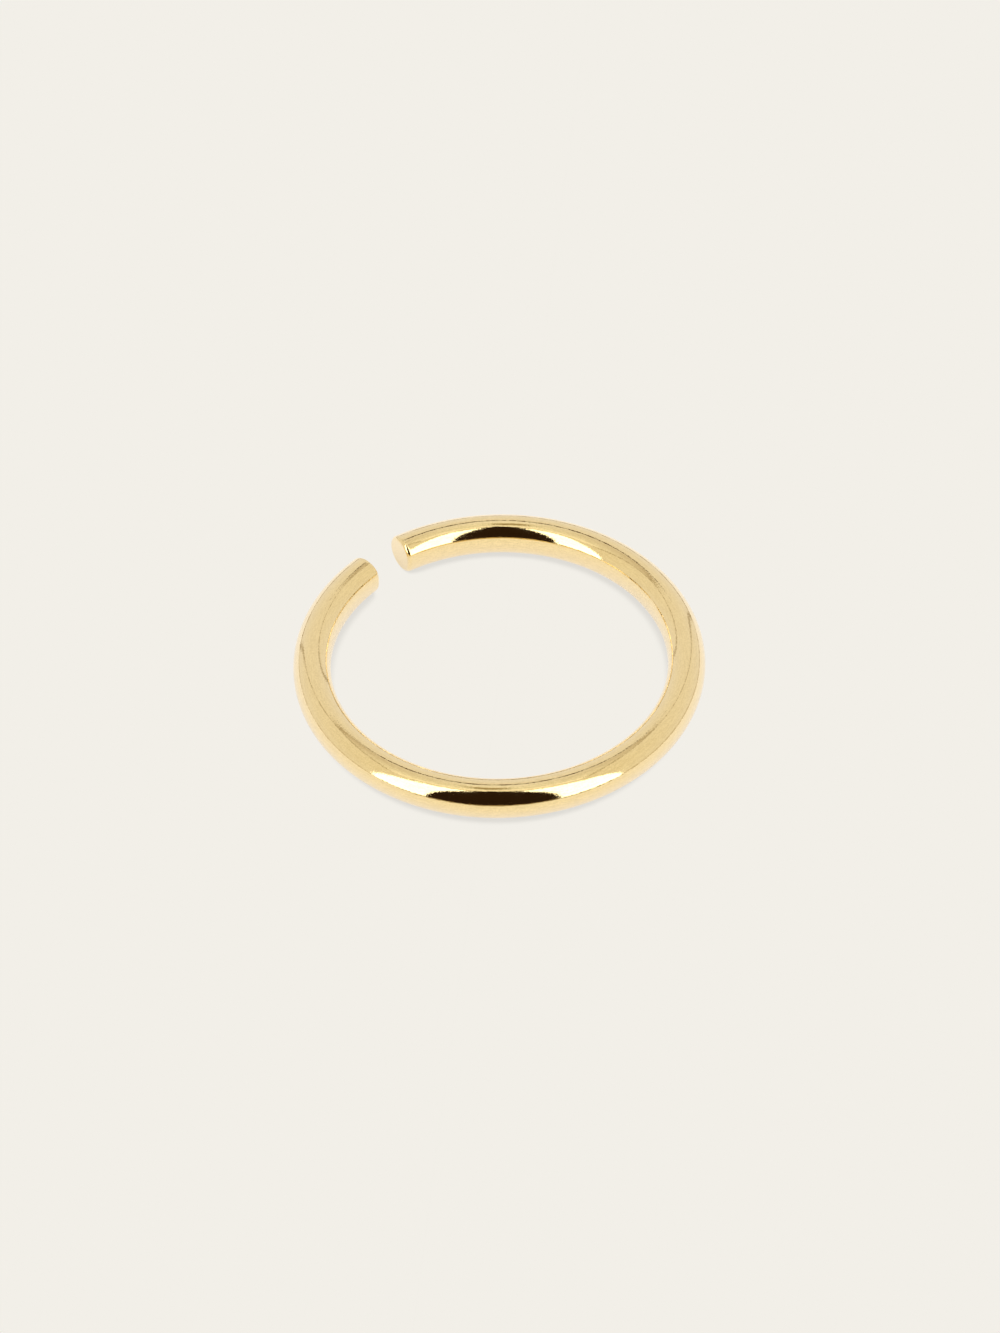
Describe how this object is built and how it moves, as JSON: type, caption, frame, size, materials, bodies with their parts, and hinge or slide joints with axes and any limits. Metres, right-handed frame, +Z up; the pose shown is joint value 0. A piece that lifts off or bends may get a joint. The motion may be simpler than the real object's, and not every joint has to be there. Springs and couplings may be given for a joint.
{
  "type": "ear cuff",
  "caption": "Plain open ear cuff of round polished gold wire with square-cut, softly rounded ends, worn on the rim of the ear without a piercing.",
  "frame": {"origin": "centre of the ring, on the plane that the cuff lies on", "axes": "+Z up along the ring's axis, +Y from the centre out through the middle of the gap, +X across the gap"},
  "size_m": [0.0122, 0.012, 0.0011],
  "materials": {
    "polished_gold": "mirror polished yellow gold plating, with the faintest polishing marks"
  },
  "bodies": {
    "root": {"cuff_wire": "polished_gold"}
  },
  "joints": []
}
